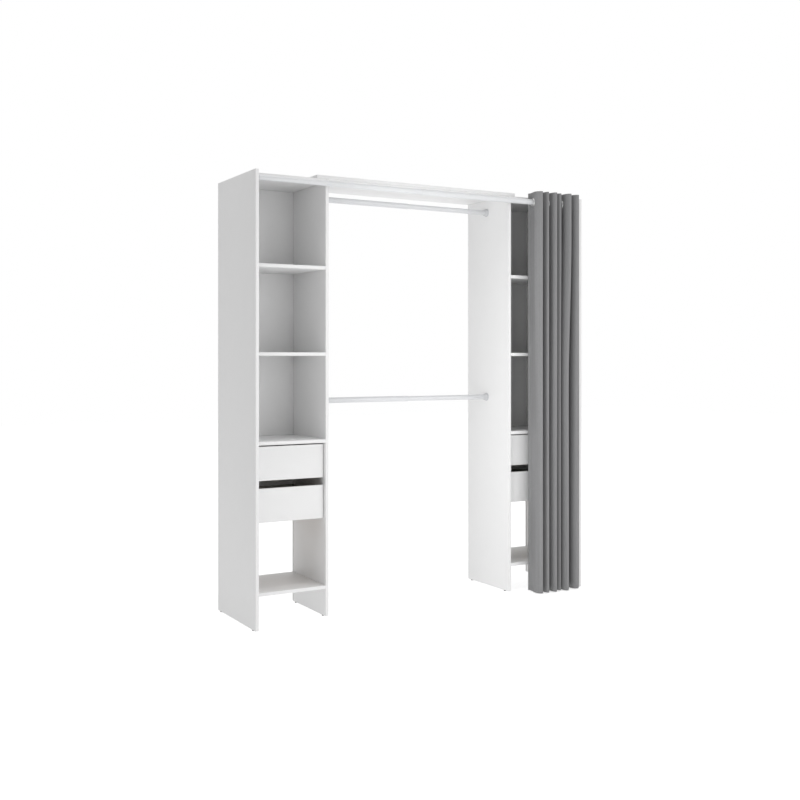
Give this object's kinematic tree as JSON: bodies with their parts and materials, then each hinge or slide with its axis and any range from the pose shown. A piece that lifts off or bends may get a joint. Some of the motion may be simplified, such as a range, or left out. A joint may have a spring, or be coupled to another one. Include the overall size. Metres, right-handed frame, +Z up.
{
  "type": "curtain wardrobe",
  "caption": "Open wardrobe of board columns with shelves and drawers, linked by a top board and hanging rails, with an eyelet curtain on a telescopic rod.",
  "frame": {"origin": "on the floor, at the middle of the whole object's width and depth", "axes": "+Z up, the front with the curtain faces -Y, +X towards the column that the curtain is gathered at"},
  "size_m": [1.82, 0.5052, 2.046],
  "materials": {
    "melamine": "satin white melamine board",
    "hardboard": "matt white faced hardboard",
    "white_steel": "white powder coat",
    "white_plastic": "moulded white",
    "black_plastic": "moulded black",
    "grey_cloth": "plain weave, matt"
  },
  "bodies": {
    "left_column": {"outer_side_left": "melamine", "inner_side_left": "melamine", "column_top_left": "melamine", "upper_shelf_left": "melamine", "middle_shelf_left": "melamine", "lower_shelf_left": "melamine", "base_shelf_left": "melamine", "back_left": "hardboard", "glide_left_outer_front": "black_plastic", "glide_left_outer_rear": "black_plastic", "glide_left_inner_front": "black_plastic", "glide_left_inner_rear": "black_plastic", "runner_left_upper_outer": "white_steel", "runner_left_upper_inner": "white_steel", "runner_left_lower_outer": "white_steel", "runner_left_lower_inner": "white_steel", "curtain_rod_socket_left": "white_plastic", "curtain_rod_slim_tube": "white_steel", "upper_rail_socket_left": "white_plastic", "upper_rail_wide_tube": "white_steel", "lower_rail_socket_left": "white_plastic", "lower_rail_wide_tube": "white_steel"},
    "right_column": {"outer_side_right": "melamine", "inner_side_right": "melamine", "column_top_right": "melamine", "upper_shelf_right": "melamine", "middle_shelf_right": "melamine", "lower_shelf_right": "melamine", "base_shelf_right": "melamine", "back_right": "hardboard", "glide_right_outer_front": "black_plastic", "glide_right_outer_rear": "black_plastic", "glide_right_inner_front": "black_plastic", "glide_right_inner_rear": "black_plastic", "runner_right_upper_outer": "white_steel", "runner_right_upper_inner": "white_steel", "runner_right_lower_outer": "white_steel", "runner_right_lower_inner": "white_steel", "curtain_rod_socket_right": "white_plastic", "curtain_rod_wide_tube": "white_steel", "upper_rail_socket_right": "white_plastic", "upper_rail_slim_tube": "white_steel", "lower_rail_socket_right": "white_plastic", "lower_rail_slim_tube": "white_steel", "curtain_fold_7": "grey_cloth"},
    "top_board": {"top_board": "melamine"},
    "drawer_left_upper": {"drawer_left_upper_front": "melamine", "drawer_left_upper_box": "melamine"},
    "drawer_left_lower": {"drawer_left_lower_front": "melamine", "drawer_left_lower_box": "melamine"},
    "drawer_right_upper": {"drawer_right_upper_front": "melamine", "drawer_right_upper_box": "melamine"},
    "drawer_right_lower": {"drawer_right_lower_front": "melamine", "drawer_right_lower_box": "melamine"},
    "curtain_fold_6": {"curtain_fold_6": "grey_cloth"},
    "curtain_fold_5": {"curtain_fold_5": "grey_cloth"},
    "curtain_fold_4": {"curtain_fold_4": "grey_cloth"},
    "curtain_fold_3": {"curtain_fold_3": "grey_cloth"},
    "curtain_fold_2": {"curtain_fold_2": "grey_cloth"},
    "curtain_fold_1": {"curtain_fold_1": "grey_cloth"}
  },
  "joints": [
    {"name": "width_adjust", "type": "slide", "parent": "left_column", "child": "right_column", "axis": [-1, 0, 0], "range_m": [0, 0.46]},
    {"name": "top_board_shift", "type": "slide", "parent": "left_column", "child": "top_board", "axis": [-1, 0, 0], "range_m": [0, 0.23]},
    {"name": "drawer_left_upper_slide", "type": "slide", "parent": "left_column", "child": "drawer_left_upper", "axis": [0, -1, 0], "range_m": [0, 0.22]},
    {"name": "drawer_left_lower_slide", "type": "slide", "parent": "left_column", "child": "drawer_left_lower", "axis": [0, -1, 0], "range_m": [0, 0.22]},
    {"name": "drawer_right_upper_slide", "type": "slide", "parent": "right_column", "child": "drawer_right_upper", "axis": [0, -1, 0], "range_m": [0, 0.22]},
    {"name": "drawer_right_lower_slide", "type": "slide", "parent": "right_column", "child": "drawer_right_lower", "axis": [0, -1, 0], "range_m": [0, 0.22]},
    {"name": "curtain_draw", "type": "slide", "parent": "right_column", "child": "curtain_fold_6", "axis": [1, 0, 0], "range_m": [-0.15, 0], "deforming": ["curtain_fold_6", "curtain_fold_7"]},
    {"name": "curtain_draw_fold_5", "type": "slide", "parent": "curtain_fold_6", "child": "curtain_fold_5", "axis": [1, 0, 0], "range_m": [-0.15, 0], "deforming": ["curtain_fold_5"]},
    {"name": "curtain_draw_fold_4", "type": "slide", "parent": "curtain_fold_5", "child": "curtain_fold_4", "axis": [1, 0, 0], "range_m": [-0.15, 0], "deforming": ["curtain_fold_4"]},
    {"name": "curtain_draw_fold_3", "type": "slide", "parent": "curtain_fold_4", "child": "curtain_fold_3", "axis": [1, 0, 0], "range_m": [-0.15, 0], "deforming": ["curtain_fold_3"]},
    {"name": "curtain_draw_fold_2", "type": "slide", "parent": "curtain_fold_3", "child": "curtain_fold_2", "axis": [1, 0, 0], "range_m": [-0.15, 0], "deforming": ["curtain_fold_2"]},
    {"name": "curtain_draw_fold_1", "type": "slide", "parent": "curtain_fold_2", "child": "curtain_fold_1", "axis": [1, 0, 0], "range_m": [-0.15, 0], "deforming": ["curtain_fold_1"]}
  ],
  "couplings": [
    {"joint": "top_board_shift", "follows": "width_adjust", "ratio": 0.5},
    {"joint": "curtain_draw_fold_5", "follows": "curtain_draw", "ratio": 1},
    {"joint": "curtain_draw_fold_4", "follows": "curtain_draw", "ratio": 1},
    {"joint": "curtain_draw_fold_3", "follows": "curtain_draw", "ratio": 1},
    {"joint": "curtain_draw_fold_2", "follows": "curtain_draw", "ratio": 1},
    {"joint": "curtain_draw_fold_1", "follows": "curtain_draw", "ratio": 1}
  ]
}
